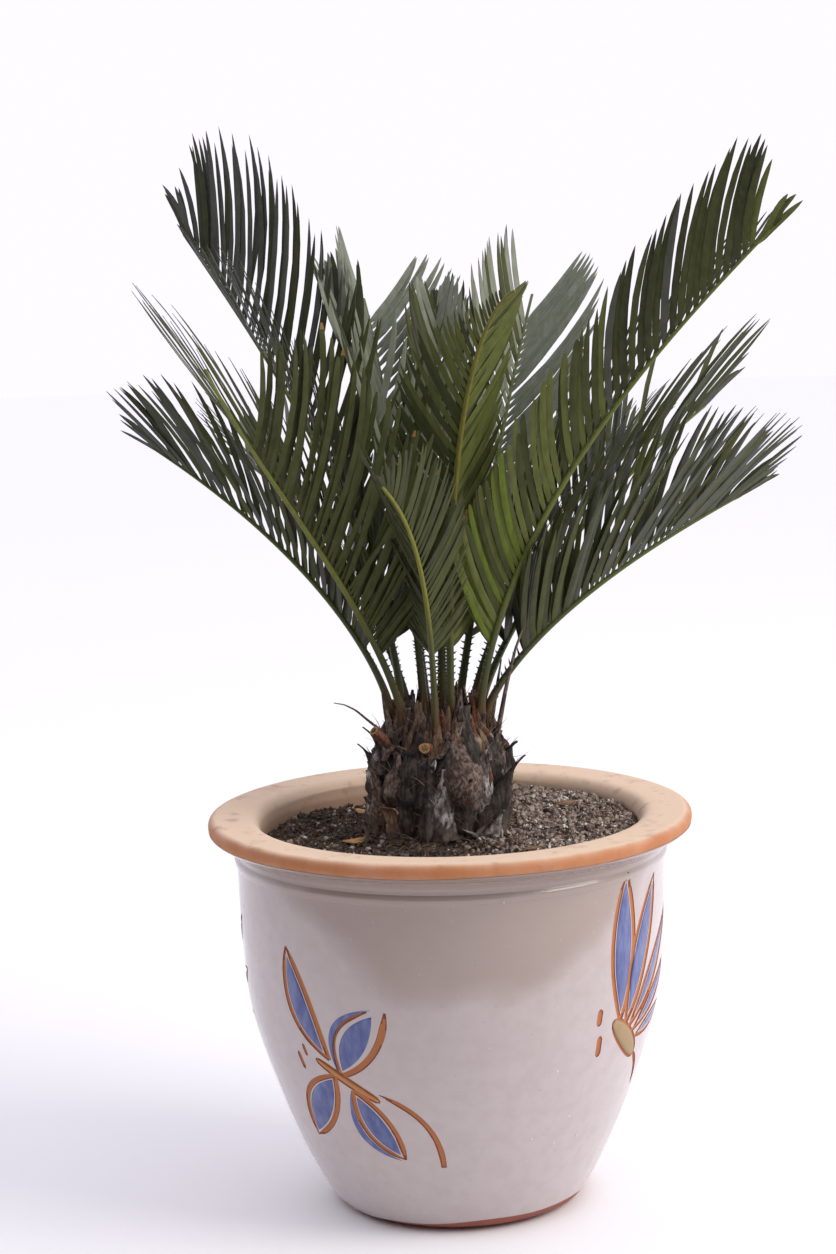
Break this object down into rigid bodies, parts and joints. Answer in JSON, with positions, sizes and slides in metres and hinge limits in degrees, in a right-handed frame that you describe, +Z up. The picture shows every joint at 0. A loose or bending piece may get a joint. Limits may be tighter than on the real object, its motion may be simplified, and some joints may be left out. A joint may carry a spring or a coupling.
{
  "type": "potted sago palm",
  "caption": "Small sago palm with a short scaly trunk and a crown of stiff feather fronds, planted in a wide-rimmed glazed garden pot filled with soil.",
  "frame": {"origin": "middle of the pot's flat underside", "axes": "+Z up along the pot's axis, +X to the plant's right as seen from its front, front faces -Y"},
  "size_m": [0.581, 0.5373, 0.8784],
  "materials": {
    "glazed_pot": "pale grey-beige gloss glaze with fine specks, bare orange clay on the rim and foot",
    "potting_soil": "crumbly dark soil with white grains",
    "palm_trunk": "rough dark brown leaf bases with grey fibre",
    "palm_fronds": "leathery dark olive green, softly glossy"
  },
  "bodies": {
    "root": {"pot": "glazed_pot", "soil": "potting_soil", "trunk": "palm_trunk", "frond_01": "palm_fronds", "frond_02": "palm_fronds", "frond_03": "palm_fronds", "frond_04": "palm_fronds", "frond_05": "palm_fronds", "frond_06": "palm_fronds", "frond_07": "palm_fronds", "frond_08": "palm_fronds", "frond_09": "palm_fronds", "frond_10": "palm_fronds", "frond_11": "palm_fronds", "frond_12": "palm_fronds", "frond_13": "palm_fronds", "frond_14": "palm_fronds"}
  },
  "joints": []
}
